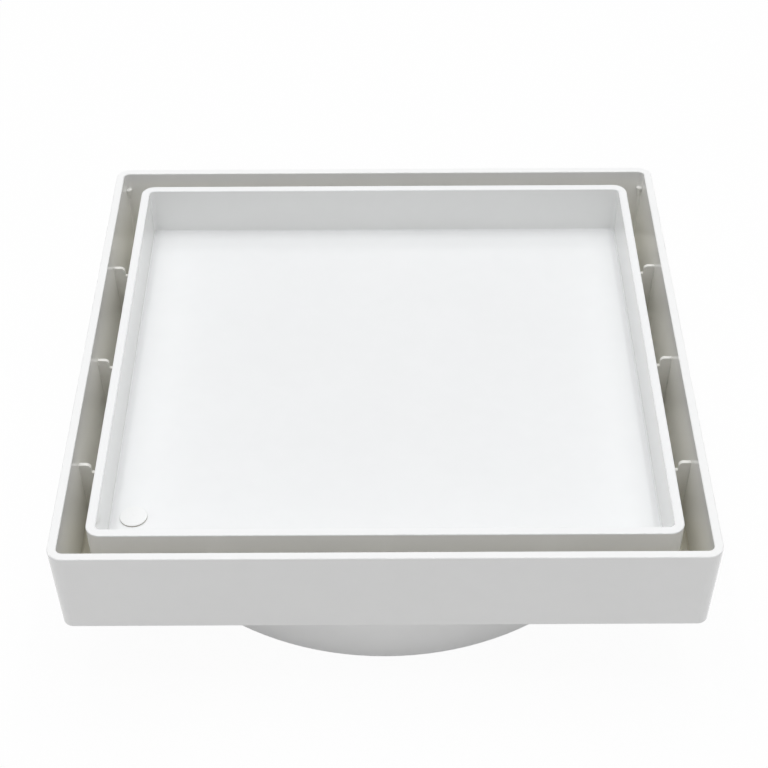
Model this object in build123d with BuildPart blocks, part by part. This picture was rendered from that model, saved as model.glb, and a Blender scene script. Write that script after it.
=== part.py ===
"""Square floor drain with a lift-out tile tray.

The frame body is one moulding: a square wall, a floor plate, stepped ribs that centre and carry
the tray, a nib in each corner and a round outlet spigot. The tray is a shallow square dish that
takes a tile. A small push-in plug closes the hole that the tray is lifted by.

Millimetres, +Z up. The origin is the centre of the outlet's lower rim, and -Y is the front.
"""
import math
import os

from build123d import *

# Driving dimensions: moulding rules that every rim and bevel follows
bevel_angle = 45.0
rim_round = 0.2

# Driving dimensions: tile tray
recess_width = 100.0
recess_depth = 10.4
recess_corner_radius = 1.0
recess_floor_bevel = 0.25
tray_wall = 1.7
tray_floor = 1.7
tray_base_bevel = 0.6
tray_draft = 1.0

# Driving dimensions: frame body
drain_gap = 4.3
frame_wall = 1.6
frame_inner_radius = 1.2
frame_outer_radius = 2.9
frame_draft = 2.7
floor_plate = 1.8
floor_bevel = 0.25
waterway_height = 3.85
tray_below_rim = 0.35
base_bevel = 0.3

# Driving dimensions: outlet spigot
outlet_inset = 6.6
outlet_wall = 2.0
outlet_drop = 15.55
outlet_root_chamfer = 1.0
outlet_lip_chamfer = 0.8
outlet_lead = 0.5

# Driving dimensions: ribs on the inside of the frame
rib_from_corner = 26.75
rib_thickness = 0.7
fin_reach = 2.4
fin_below_rim = 4.85
fin_corner_radius = 0.9
step_below_fin = 1.9
step_clearance = 0.4
seat_reach = 2.2

# Driving dimensions: nibs in the corners of the frame
nib_below_rim = 3.5
nib_height = 3.0
nib_reach = 1.0
nib_width = 1.3
nib_nose = 0.3
nib_crown = 0.15
nib_tip_scale = 0.5
nib_anchor = 0.5

# Driving dimensions: lift-hole plug
plug_head_diameter = 5.0
plug_head_height = 0.35
plug_head_chamfer = 0.1
plug_stem_diameter = 3.0
plug_stem_below_tray = 0.8
plug_clearance = 0.1
plug_lead = 0.3
plug_gate_diameter = 0.4
plug_gate_depth = 0.05
plug_from_side = 4.4
plug_from_front = 13.0

# Widths that follow from the tray outwards
tray_width = recess_width + 2 * tray_wall
tray_corner_radius = recess_corner_radius + tray_wall
frame_inside = tray_width + 2 * drain_gap
frame_width = frame_inside + 2 * frame_wall
outlet_radius = frame_width / 2 - outlet_inset
bore_radius = outlet_radius - outlet_wall

# Heights that follow from the outlet's lower rim upwards
floor_top = outlet_drop + floor_plate
tray_underside = floor_top + waterway_height
recess_floor = tray_underside + tray_floor
tray_top = recess_floor + recess_depth
frame_top = tray_top + tray_below_rim
fin_top = frame_top - fin_below_rim
step_top = fin_top - step_below_fin
nib_top = frame_top - nib_below_rim
nib_shoulder = nib_top - nib_crown
nib_tip = nib_top - nib_height

# Distances of the ribs' faces from the centre plane
wall_face = frame_inside / 2
rib_root = wall_face + frame_wall / 4
fin_face = wall_face - fin_reach
step_face = tray_width / 2 + step_clearance
seat_face = tray_width / 2 - seat_reach

wall_turns = (0, 90, 180, 270)
corner_turns = (45, 135, 225, 315)
end_rib = wall_face - rib_from_corner
rib_places = (-end_rib, 0, end_rib)

# Distance of the rounded inner corner from the centre, along the diagonal
corner_face = math.sqrt(2) * (wall_face - frame_inner_radius) + frame_inner_radius

# Place of the plug in the tray's front left corner
plug_x = plug_from_side - recess_width / 2
plug_y = plug_from_front - recess_width / 2


# Rib outline: the fin, the step that centres the tray and the seat under it, from the wall inwards
with BuildSketch() as rib_outline:
    with BuildLine():
        Polyline(
            (rib_root, floor_top - floor_plate / 2),
            (rib_root, fin_top),
            (fin_face, fin_top),
            (fin_face, step_top),
            (step_face, step_top),
            (step_face, tray_underside),
            (seat_face, tray_underside),
            (seat_face, floor_top - floor_plate / 2),
            close=True,
        )
    make_face()
    fin_corner = rib_outline.vertices().group_by(Axis.Y)[-1].sort_by(Axis.X)[0]
    fillet(fin_corner, radius=fin_corner_radius)

# Nib outline, from its root in the wall to its nose
with BuildSketch() as nib_outline:
    Rectangle(nib_anchor + nib_reach, nib_width, align=(Align.MAX, Align.CENTER))
    chamfer(nib_outline.vertices().group_by(Axis.X)[0], length=nib_nose)

# Frame body
with BuildPart() as frame_body:
    # Square wall and floor plate, bevelled along the base and along the floor inside
    with BuildSketch(Plane.XY.offset(frame_top)):
        RectangleRounded(frame_width, frame_width, frame_outer_radius)
    extrude(amount=outlet_drop + base_bevel - frame_top, taper=frame_draft)
    extrude(frame_body.faces().sort_by(Axis.Z)[0], amount=base_bevel, taper=bevel_angle)
    with BuildSketch(Plane.XY.offset(frame_top)):
        RectangleRounded(frame_inside, frame_inside, frame_inner_radius)
    extrude(amount=floor_top + floor_bevel - frame_top, taper=frame_draft, mode=Mode.SUBTRACT)
    pocket_floor = frame_body.faces().filter_by(Plane.XY).sort_by(Axis.Z)[1]
    extrude(pocket_floor, amount=-floor_bevel, taper=bevel_angle, mode=Mode.SUBTRACT)
    frame_rim = frame_body.faces().filter_by(Plane.XY).sort_by(Axis.Z)[-1]
    fillet(frame_rim.edges(), radius=rim_round)

    # Round outlet, strengthened at its root and with a lead at its lower end
    with BuildSketch():
        Circle(outlet_radius)
    extrude(amount=outlet_drop)
    spigot_rings = frame_body.edges().filter_by(GeomType.CIRCLE).group_by(SortBy.RADIUS)[-1]
    chamfer(spigot_rings.sort_by(Axis.Z)[-1], length=outlet_root_chamfer)
    chamfer(spigot_rings.sort_by(Axis.Z)[0], length=outlet_lead)

    # Outlet bore with a bevelled lip at the floor plate
    with BuildSketch():
        Circle(bore_radius)
    extrude(amount=floor_top, mode=Mode.SUBTRACT)
    bore_rings = frame_body.edges().filter_by(GeomType.CIRCLE).filter_by(
        lambda ring: math.isclose(ring.radius, bore_radius)
    )
    chamfer(bore_rings.sort_by(Axis.Z)[-1], length=outlet_lip_chamfer)

    # Stepped ribs on all four walls
    for turn in wall_turns:
        for place in rib_places:
            with BuildSketch(Plane.XZ.rotated((0, 0, turn)).offset(place)):
                add(rib_outline.sketch)
            extrude(amount=rib_thickness / 2, both=True)

    # Corner nibs, flat on top and tapering back into the wall below
    for turn in corner_turns:
        corner_plane = Plane.XY.rotated((0, 0, turn))
        with BuildSketch(corner_plane.offset(nib_tip)):
            with Locations((corner_face + nib_anchor, 0)):
                add(nib_outline.sketch.scale(nib_tip_scale))
        with BuildSketch(corner_plane.offset(nib_shoulder)):
            with Locations((corner_face + nib_anchor, 0)):
                add(nib_outline.sketch)
        with BuildSketch(corner_plane.offset(nib_top)):
            with Locations((corner_face + nib_anchor, 0)):
                add(nib_outline.sketch)
            offset(amount=-nib_crown, kind=Kind.INTERSECTION)
        loft(ruled=True)
frame_body.part.label = "frame_body"


# Tile tray
with BuildPart() as tile_tray:
    # Drafted dish, bevelled along the base and along the floor inside
    with BuildSketch(Plane.XY.offset(tray_top)):
        RectangleRounded(tray_width, tray_width, tray_corner_radius)
    extrude(amount=tray_underside + tray_base_bevel - tray_top, taper=tray_draft)
    extrude(tile_tray.faces().sort_by(Axis.Z)[0], amount=tray_base_bevel, taper=bevel_angle)
    with BuildSketch(Plane.XY.offset(tray_top)):
        RectangleRounded(recess_width, recess_width, recess_corner_radius)
    extrude(amount=recess_floor_bevel - recess_depth, taper=tray_draft, mode=Mode.SUBTRACT)
    recess_face = tile_tray.faces().filter_by(Plane.XY).sort_by(Axis.Z)[1]
    extrude(recess_face, amount=-recess_floor_bevel, taper=bevel_angle, mode=Mode.SUBTRACT)
    tray_rim = tile_tray.faces().filter_by(Plane.XY).sort_by(Axis.Z)[-1]
    fillet(tray_rim.edges(), radius=rim_round)

    # Lifting hole
    with Locations((plug_x, plug_y, recess_floor)):
        Hole(radius=plug_stem_diameter / 2 + plug_clearance, depth=tray_floor)
tile_tray.part.label = "tile_tray"


# Lift-hole plug: a flat head with a gate mark, on a stem that goes through the tray's floor
with BuildPart() as lift_hole_plug:
    with BuildSketch(Plane.XY.offset(recess_floor)):
        with Locations((plug_x, plug_y)):
            Circle(plug_head_diameter / 2)
    extrude(amount=plug_head_height)
    chamfer(lift_hole_plug.edges().sort_by(Axis.Z)[-1], length=plug_head_chamfer)
    with BuildSketch(Plane.XY.offset(recess_floor)):
        with Locations((plug_x, plug_y)):
            Circle(plug_stem_diameter / 2)
    extrude(amount=-(tray_floor + plug_stem_below_tray))
    chamfer(lift_hole_plug.edges().sort_by(Axis.Z)[0], length=plug_lead)
    with Locations((plug_x, plug_y, recess_floor + plug_head_height)):
        Hole(radius=plug_gate_diameter / 2, depth=plug_gate_depth)
lift_hole_plug.part.label = "lift_hole_plug"


os.makedirs("parts", exist_ok=True)
export_step(frame_body.part, "parts/frame_body.step")
export_step(tile_tray.part, "parts/tile_tray.step")
export_step(lift_hole_plug.part, "parts/lift_hole_plug.step")
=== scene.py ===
"""Looks of the square floor drain with its lift-out tile tray.

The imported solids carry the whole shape. This script gives each of the three mouldings its white
plastic finish, and sets the pale floor, the studio light and the camera.
Metres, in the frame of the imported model.
"""
import math

import bpy
from mathutils import Matrix, Vector

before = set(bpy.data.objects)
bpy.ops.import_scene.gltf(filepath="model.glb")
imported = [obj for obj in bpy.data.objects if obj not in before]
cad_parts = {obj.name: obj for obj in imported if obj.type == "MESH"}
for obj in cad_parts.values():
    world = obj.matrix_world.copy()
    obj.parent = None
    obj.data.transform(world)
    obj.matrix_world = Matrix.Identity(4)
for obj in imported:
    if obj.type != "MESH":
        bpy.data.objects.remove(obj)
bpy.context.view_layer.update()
scene = bpy.context.scene
scene.view_settings.view_transform = "Standard"

MM = 0.001
PURE_WHITE = (1, 1, 1, 1)

# Camera, fitted to the drain's edges: seen from the front and above
CAMERA_PLACE = Vector((0.53, -267.3, 257.7)) * MM
CAMERA_RIGHT = Vector((0.99999, -0.00161, -0.00464))
CAMERA_UP = Vector((0.00455, 0.66104, 0.75033))
CAMERA_BACK = Vector((0.00186, -0.75035, 0.66104))
CAMERA_LENS = 84.816
CAMERA_SENSOR = 36.0
CAMERA_NEAREST = 10 * MM

# Studio: the white surroundings, and each soft box as its size, place and radiance
STUDIO_COLOUR = (1.0, 1.0, 1.0)
STUDIO_LEVEL = 0.395
SOFT_BOXES = {
    "left_strip": ((0.80, 0.045), Vector((-176, 100, 900)) * MM, 7.2),
    "right_strip": ((0.80, 0.045), Vector((176, 100, 900)) * MM, 7.2),
    "crown_panel": ((1.20, 0.60), Vector((0, 50, 900)) * MM, 1.33),
    "rear_strip": ((1.14, 0.22), Vector((0, 990, 1420)) * MM, 2.8),
}
BACKDROP_LEVEL = 1.0

# Studio floor, just below the spigot's rim, and the share of shading that the camera sees on it
FLOOR_HALF = 3.0
FLOOR_HEIGHT = -0.05 * MM
FLOOR_COLOUR = (0.94, 0.94, 0.94)
FLOOR_SHADOW = 0.05

# Frame: its white and roughness, and the painted light on its rim, a paler white from that height
# up
FRAME_WHITE = (0.915, 0.916, 0.912)
FRAME_EDGE_PAINTED_LIGHT = (0.975, 0.980, 0.980)
FRAME_EDGE = 33.44 * MM
FRAME_ROUGHNESS = 0.10

# Tray: satin floor, polished walls with painted shade from that height up, and painted warm bounce
# light on the outside from that far out
TRAY_WHITE = (0.920, 0.930, 0.938)
TRAY_WALL_PAINTED_SHADE = (0.890, 0.896, 0.889)
TRAY_OUTSIDE_PAINTED_BOUNCE = (0.935, 0.926, 0.898)
TRAY_WALL_FOOT = 23.1 * MM
TRAY_OUTSIDE = 50.8 * MM
# Painted light on the tray's rim: a paler white from that height up
TRAY_EDGE_PAINTED_LIGHT = (0.965, 0.974, 0.980)
TRAY_EDGE = 33.09 * MM
TRAY_FLOOR_ROUGHNESS = 0.38
TRAY_WALL_ROUGHNESS = 0.05

# Plug: its head with painted light from that height up, and painted shade on the side round it up
# to that height
PLUG_WHITE = (0.910, 0.916, 0.916)
PLUG_EDGE_PAINTED_LIGHT = (0.930, 0.936, 0.936)
PLUG_EDGE = 23.15 * MM
PLUG_ROUGHNESS = 0.38
PLUG_SIDE_SHADE = (0.36, 0.34, 0.29)
PLUG_SHADE_TOP = 23.12 * MM

# Least roughness of every upper edge
EDGE_ROUGHNESS = 0.38

# Painted light and shade inside the frame, by height, from the pocket's floor up to just below the
# rim: an ivory white paler than outside, warmer towards the floor
POCKET_HALF_WIDTH = 56.4 * MM
POCKET_CORNER_SUM = 111.9 * MM
POCKET_TOP = 33.0 * MM
POCKET_FLOOR = 17.2 * MM
POCKET_LIGHT_AND_SHADE = {
    POCKET_FLOOR: (0.930, 0.918, 0.840),
    20.5 * MM: (0.962, 0.953, 0.890),
    27.0 * MM: (0.962, 0.957, 0.920),
    31.0 * MM: (0.962, 0.960, 0.938),
    POCKET_TOP: FRAME_WHITE,
}

# Painted shade in the front corners of the pocket's floor, by the distance from the middle along X
# and Y added
CORNER_PAINTED_SHADE = (0.76, 0.73, 0.61)
CORNER_START = 82 * MM
CORNER_END = 88 * MM
CORNER_HEIGHT = 17.7 * MM

# Painted light on the outlet spigot: a paler white up to this height
SPIGOT_PAINTED_LIGHT = (0.950, 0.952, 0.948)
SPIGOT_TOP = 15.5 * MM

# Moulded surface: the size of each unevenness, its least and greatest value, and its detail.
# Sink waves and grain are heights in millimetres, and the others are factors.
FLOW_MARKS = (30 * MM, 0.988, 1.004, 2.0)
MOTTLING = (3.5 * MM, 0.993, 1.005, 2.0)
UNEVEN_FINISH = (9 * MM, 0.8, 1.25, 2.0)
SINK_WAVES = (22 * MM, -0.012, 0.012, 1.0)
GRAIN = (0.5 * MM, -0.0006, 0.0006, 1.0)
NOISE_LEAST = 0.25
NOISE_GREATEST = 0.75


def link(name, data):
    """Puts a new object in the scene."""
    made = bpy.data.objects.new(name, data)
    scene.collection.objects.link(made)
    return made


def add_camera():
    """Camera at the photograph's viewing angle."""
    data = bpy.data.cameras.new("photo_camera")
    data.sensor_width = CAMERA_SENSOR
    data.lens = CAMERA_LENS
    data.clip_start = CAMERA_NEAREST
    camera = link("photo_camera", data)
    turn = Matrix((CAMERA_RIGHT, CAMERA_UP, CAMERA_BACK)).transposed()
    camera.matrix_world = Matrix.Translation(CAMERA_PLACE) @ turn.to_4x4()
    scene.camera = camera


def add_soft_box(name, size, place, radiance):
    """Rectangular lamp. One at the side lies along the tray, and any other lies across it."""
    data = bpy.data.lights.new(name, "AREA")
    data.shape = "RECTANGLE"
    data.size, data.size_y = size
    data.color = STUDIO_COLOUR
    data.energy = radiance * math.pi * size[0] * size[1]
    lamp = link(name, data)
    aim = Vector((0, place.y, 0)) if place.x else Vector((0, 0, 0))
    lamp.rotation_euler = (aim - place).to_track_quat("-Z", "Y").to_euler()
    lamp.location = place


def backdrop_rays(nodes, links):
    """Mask of the rays that meet the pure white backdrop."""
    path = nodes.new("ShaderNodeLightPath")
    mask = path.outputs["Is Camera Ray"]
    for ray in ("Is Glossy Ray", "Is Transmission Ray"):
        either = nodes.new("ShaderNodeMath")
        either.operation = "MAXIMUM"
        links.new(mask, either.inputs[0])
        links.new(path.outputs[ray], either.inputs[1])
        mask = either.outputs["Value"]
    return mask


def add_studio():
    """White surroundings at a plain level, pure white to the camera and in mirror images."""
    world = bpy.data.worlds.new("white_studio")
    world.use_nodes = True
    nodes, links = world.node_tree.nodes, world.node_tree.links
    nodes.clear()
    around = nodes.new("ShaderNodeBackground")
    around.inputs["Color"].default_value = (*STUDIO_COLOUR, 1)
    around.inputs["Strength"].default_value = STUDIO_LEVEL
    behind = nodes.new("ShaderNodeBackground")
    behind.inputs["Color"].default_value = PURE_WHITE
    behind.inputs["Strength"].default_value = BACKDROP_LEVEL
    mix = nodes.new("ShaderNodeMixShader")
    out = nodes.new("ShaderNodeOutputWorld")
    links.new(backdrop_rays(nodes, links), mix.inputs["Fac"])
    links.new(around.outputs["Background"], mix.inputs[1])
    links.new(behind.outputs["Background"], mix.inputs[2])
    links.new(mix.outputs["Shader"], out.inputs["Surface"])
    scene.world = world


def add_floor():
    """Plain white floor that keeps a faint shadow of the drain and is clear from below."""
    mesh = bpy.data.meshes.new("studio_floor")
    corners = ((-1, -1), (1, -1), (1, 1), (-1, 1))
    points = [(x * FLOOR_HALF, y * FLOOR_HALF, FLOOR_HEIGHT) for x, y in corners]
    mesh.from_pydata(points, [], [(0, 1, 2, 3)])
    floor = link("studio_floor", mesh)
    material = bpy.data.materials.new("white_floor")
    material.use_nodes = True
    nodes, links = material.node_tree.nodes, material.node_tree.links
    nodes.clear()

    # What lights the drain, and what the camera sees
    matt = nodes.new("ShaderNodeBsdfDiffuse")
    matt.inputs["Color"].default_value = (*FLOOR_COLOUR, 1)
    shaded = nodes.new("ShaderNodeBsdfDiffuse")
    shaded.inputs["Color"].default_value = PURE_WHITE
    white = nodes.new("ShaderNodeEmission")
    white.inputs["Color"].default_value = PURE_WHITE
    white.inputs["Strength"].default_value = BACKDROP_LEVEL
    seen = nodes.new("ShaderNodeMixShader")
    seen.inputs["Fac"].default_value = FLOOR_SHADOW
    links.new(white.outputs["Emission"], seen.inputs[1])
    links.new(shaded.outputs["BSDF"], seen.inputs[2])
    mix = nodes.new("ShaderNodeMixShader")
    out = nodes.new("ShaderNodeOutputMaterial")
    links.new(backdrop_rays(nodes, links), mix.inputs["Fac"])
    links.new(matt.outputs["BSDF"], mix.inputs[1])
    links.new(seen.outputs["Shader"], mix.inputs[2])

    # Clear from below
    side = nodes.new("ShaderNodeNewGeometry")
    clear = nodes.new("ShaderNodeBsdfTransparent")
    from_below = nodes.new("ShaderNodeMixShader")
    links.new(side.outputs["Backfacing"], from_below.inputs["Fac"])
    links.new(mix.outputs["Shader"], from_below.inputs[1])
    links.new(clear.outputs["BSDF"], from_below.inputs[2])
    links.new(from_below.outputs["Shader"], out.inputs["Surface"])
    mesh.materials.append(material)


def calc(tree, operation, first, second=None):
    """Math node on two links or values, which gives back its output."""
    node = tree.nodes.new("ShaderNodeMath")
    node.operation = operation
    for socket, value in zip(node.inputs, (first, second)):
        if isinstance(value, bpy.types.NodeSocket):
            tree.links.new(value, socket)
        elif value is not None:
            socket.default_value = value
    return node.outputs["Value"]


def spread(tree, value, least, greatest):
    """Map Range node for a value between two bounds. It gives 0 to 1 unless that is changed."""
    node = tree.nodes.new("ShaderNodeMapRange")
    node.inputs["From Min"].default_value = least
    node.inputs["From Max"].default_value = greatest
    tree.links.new(value, node.inputs["Value"])
    return node


def cloud(tree, place, size, least, greatest, detail):
    """Noise of that feature size, spread between two values."""
    noise = tree.nodes.new("ShaderNodeTexNoise")
    noise.inputs["Scale"].default_value = 1 / size
    noise.inputs["Detail"].default_value = detail
    tree.links.new(place, noise.inputs["Vector"])
    node = spread(tree, noise.outputs["Fac"], NOISE_LEAST, NOISE_GREATEST)
    node.inputs["To Min"].default_value = least
    node.inputs["To Max"].default_value = greatest
    return node.outputs["Result"]


def mix_colours(tree, share, first, second):
    """Colour between two links or plain colours."""
    node = tree.nodes.new("ShaderNodeMix")
    node.data_type = "RGBA"
    tree.links.new(share, node.inputs["Factor"])
    for name, value in (("A", first), ("B", second)):
        socket = next(s for s in node.inputs if s.name == name and s.type == "RGBA")
        if isinstance(value, bpy.types.NodeSocket):
            tree.links.new(value, socket)
        else:
            socket.default_value = (*value, 1)
    return next(s for s in node.outputs if s.type == "RGBA")


def place_axes(tree):
    """Place on the drain, as one output for each axis."""
    split = tree.nodes.new("ShaderNodeSeparateXYZ")
    place = tree.nodes.new("ShaderNodeTexCoord").outputs["Object"]
    tree.links.new(place, split.inputs["Vector"])
    return split.outputs


def make_moulded_skin():
    """Shader group of a moulded surface.

    It has an upper edge that is duller and paler with painted light, flow marks, mottling, sink
    waves, grain and uneven gloss.
    """
    tree = bpy.data.node_groups.new("moulded_skin", "ShaderNodeTree")
    face = tree.interface
    face.new_socket("White", in_out="INPUT", socket_type="NodeSocketColor")
    face.new_socket("Painted Edge Light", in_out="INPUT", socket_type="NodeSocketColor")
    face.new_socket("Edge Height", in_out="INPUT", socket_type="NodeSocketFloat")
    face.new_socket("Plain Roughness", in_out="INPUT", socket_type="NodeSocketFloat")
    face.new_socket("Colour", in_out="OUTPUT", socket_type="NodeSocketColor")
    face.new_socket("Roughness", in_out="OUTPUT", socket_type="NodeSocketFloat")
    face.new_socket("Height", in_out="OUTPUT", socket_type="NodeSocketFloat")
    given = tree.nodes.new("NodeGroupInput").outputs
    result = tree.nodes.new("NodeGroupOutput").inputs
    place = tree.nodes.new("ShaderNodeTexCoord").outputs["Object"]

    # Painted light: the upper edge gets a paler white
    on_edge = calc(tree, "GREATER_THAN", place_axes(tree)["Z"], given["Edge Height"])
    white = mix_colours(tree, on_edge, given["White"], given["Painted Edge Light"])
    marks = calc(tree, "MULTIPLY", cloud(tree, place, *FLOW_MARKS), cloud(tree, place, *MOTTLING))
    tint = tree.nodes.new("ShaderNodeVectorMath")
    tint.operation = "SCALE"
    tree.links.new(white, tint.inputs[0])
    tree.links.new(marks, tint.inputs["Scale"])
    tree.links.new(tint.outputs["Vector"], result["Colour"])

    dull_edge = calc(tree, "MULTIPLY", on_edge, EDGE_ROUGHNESS)
    plain = calc(tree, "MAXIMUM", given["Plain Roughness"], dull_edge)
    uneven = calc(tree, "MULTIPLY", plain, cloud(tree, place, *UNEVEN_FINISH))
    tree.links.new(uneven, result["Roughness"])

    relief = calc(tree, "ADD", cloud(tree, place, *SINK_WAVES), cloud(tree, place, *GRAIN))
    tree.links.new(relief, result["Height"])
    return tree


def white_plastic(name, white, painted_edge_light, edge, roughness, shade=None, polish=None):
    """White moulded plastic with painted light on its upper edge, a paler white.

    The function shade may paint light and shade into its white by place, and polish may work its
    roughness out by place.
    """
    material = bpy.data.materials.new(name)
    material.use_nodes = True
    tree = material.node_tree
    shader = tree.nodes["Principled BSDF"]
    skin = tree.nodes.new("ShaderNodeGroup")
    skin.node_tree = moulded_skin
    skin.inputs["White"].default_value = (*white, 1)
    skin.inputs["Painted Edge Light"].default_value = (*painted_edge_light, 1)
    skin.inputs["Edge Height"].default_value = edge
    skin.inputs["Plain Roughness"].default_value = roughness
    if shade:
        tree.links.new(shade(tree, white), skin.inputs["White"])
    if polish:
        tree.links.new(polish(tree, roughness), skin.inputs["Plain Roughness"])
    tree.links.new(skin.outputs["Colour"], shader.inputs["Base Color"])
    tree.links.new(skin.outputs["Roughness"], shader.inputs["Roughness"])
    relief = tree.nodes.new("ShaderNodeBump")
    relief.inputs["Distance"].default_value = MM
    tree.links.new(skin.outputs["Height"], relief.inputs["Height"])
    tree.links.new(relief.outputs["Normal"], shader.inputs["Normal"])
    return material


def frame_light_and_shade(tree, outside):
    """White of the frame: plain outside with painted light on the spigot, ivory painted light and
    shade inside, and painted shade in the pocket's front corners.
    """
    place = place_axes(tree)
    height = place["Z"]
    across = calc(tree, "ABSOLUTE", place["X"])
    along = calc(tree, "ABSOLUTE", place["Y"])
    both = calc(tree, "ADD", across, along)
    reach = calc(tree, "MAXIMUM", across, along)
    between_walls = calc(tree, "LESS_THAN", reach, POCKET_HALF_WIDTH)
    inside_corners = calc(tree, "LESS_THAN", both, POCKET_CORNER_SUM)
    above_floor = calc(tree, "GREATER_THAN", height, POCKET_FLOOR)
    in_square = calc(tree, "MULTIPLY", between_walls, inside_corners)
    inside = calc(tree, "MULTIPLY", in_square, above_floor)

    # Painted light and warm shade by height inside the pocket
    whites = tree.nodes.new("ShaderNodeValToRGB")
    stops = whites.color_ramp.elements
    while len(stops) < len(POCKET_LIGHT_AND_SHADE):
        stops.new(0.5)
    for stop, (level, white) in zip(stops, POCKET_LIGHT_AND_SHADE.items()):
        stop.position = (level - POCKET_FLOOR) / (POCKET_TOP - POCKET_FLOOR)
        stop.color = (*white, 1)
    rise = spread(tree, height, POCKET_FLOOR, POCKET_TOP)
    tree.links.new(rise.outputs["Result"], whites.inputs["Fac"])

    # Painted shade in the pocket's front corners
    low = calc(tree, "LESS_THAN", height, CORNER_HEIGHT)
    low_front = calc(tree, "MULTIPLY", low, calc(tree, "LESS_THAN", place["Y"], 0.0))
    to_corner = spread(tree, both, CORNER_START, CORNER_END)
    corner = calc(tree, "MULTIPLY", to_corner.outputs["Result"], low_front)
    painted_inside = mix_colours(tree, corner, whites.outputs["Color"], CORNER_PAINTED_SHADE)
    # Painted light on the spigot
    on_spigot = calc(tree, "LESS_THAN", height, SPIGOT_TOP)
    plain = mix_colours(tree, on_spigot, outside, SPIGOT_PAINTED_LIGHT)
    return mix_colours(tree, inside, plain, painted_inside)


def tray_light_and_shade(tree, floor):
    """White of the tray: cool on its floor, a neutral painted shade on the walls round it and an
    ivory painted bounce light outside.
    """
    place = place_axes(tree)
    on_walls = calc(tree, "GREATER_THAN", place["Z"], TRAY_WALL_FOOT)
    across = calc(tree, "ABSOLUTE", place["X"])
    along = calc(tree, "ABSOLUTE", place["Y"])
    outside = calc(tree, "GREATER_THAN", calc(tree, "MAXIMUM", across, along), TRAY_OUTSIDE)
    # Painted shade on the walls, and painted warm bounce light on the outside
    floor_and_shaded_walls = mix_colours(tree, on_walls, floor, TRAY_WALL_PAINTED_SHADE)
    return mix_colours(tree, outside, floor_and_shaded_walls, TRAY_OUTSIDE_PAINTED_BOUNCE)


def tray_polish(tree, floor_roughness):
    """Roughness of the tray: satin on its floor, polished on the walls."""
    on_walls = calc(tree, "GREATER_THAN", place_axes(tree)["Z"], TRAY_WALL_FOOT)
    change = calc(tree, "MULTIPLY", on_walls, TRAY_WALL_ROUGHNESS - floor_roughness)
    return calc(tree, "ADD", change, floor_roughness)


def plug_shaded_side(tree, head):
    """White of the plug: painted shade on the side round its head."""
    in_side_shade = calc(tree, "LESS_THAN", place_axes(tree)["Z"], PLUG_SHADE_TOP)
    return mix_colours(tree, in_side_shade, head, PLUG_SIDE_SHADE)


def dress(node, material):
    """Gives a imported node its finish."""
    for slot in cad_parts[node].material_slots:
        slot.material = material


add_camera()
add_studio()
add_floor()
for box_name, (box_size, box_place, box_radiance) in SOFT_BOXES.items():
    add_soft_box(box_name, box_size, box_place, box_radiance)

moulded_skin = make_moulded_skin()
frame_white = white_plastic(
    "frame_white", FRAME_WHITE, FRAME_EDGE_PAINTED_LIGHT, FRAME_EDGE, FRAME_ROUGHNESS, frame_light_and_shade
)
tray_white = white_plastic(
    "tray_white", TRAY_WHITE, TRAY_EDGE_PAINTED_LIGHT, TRAY_EDGE, TRAY_FLOOR_ROUGHNESS,
    tray_light_and_shade, tray_polish,
)
plug_white = white_plastic(
    "plug_white", PLUG_WHITE, PLUG_EDGE_PAINTED_LIGHT, PLUG_EDGE, PLUG_ROUGHNESS, plug_shaded_side
)
dress("frame_body", frame_white)
dress("tile_tray", tray_white)
dress("lift_hole_plug", plug_white)
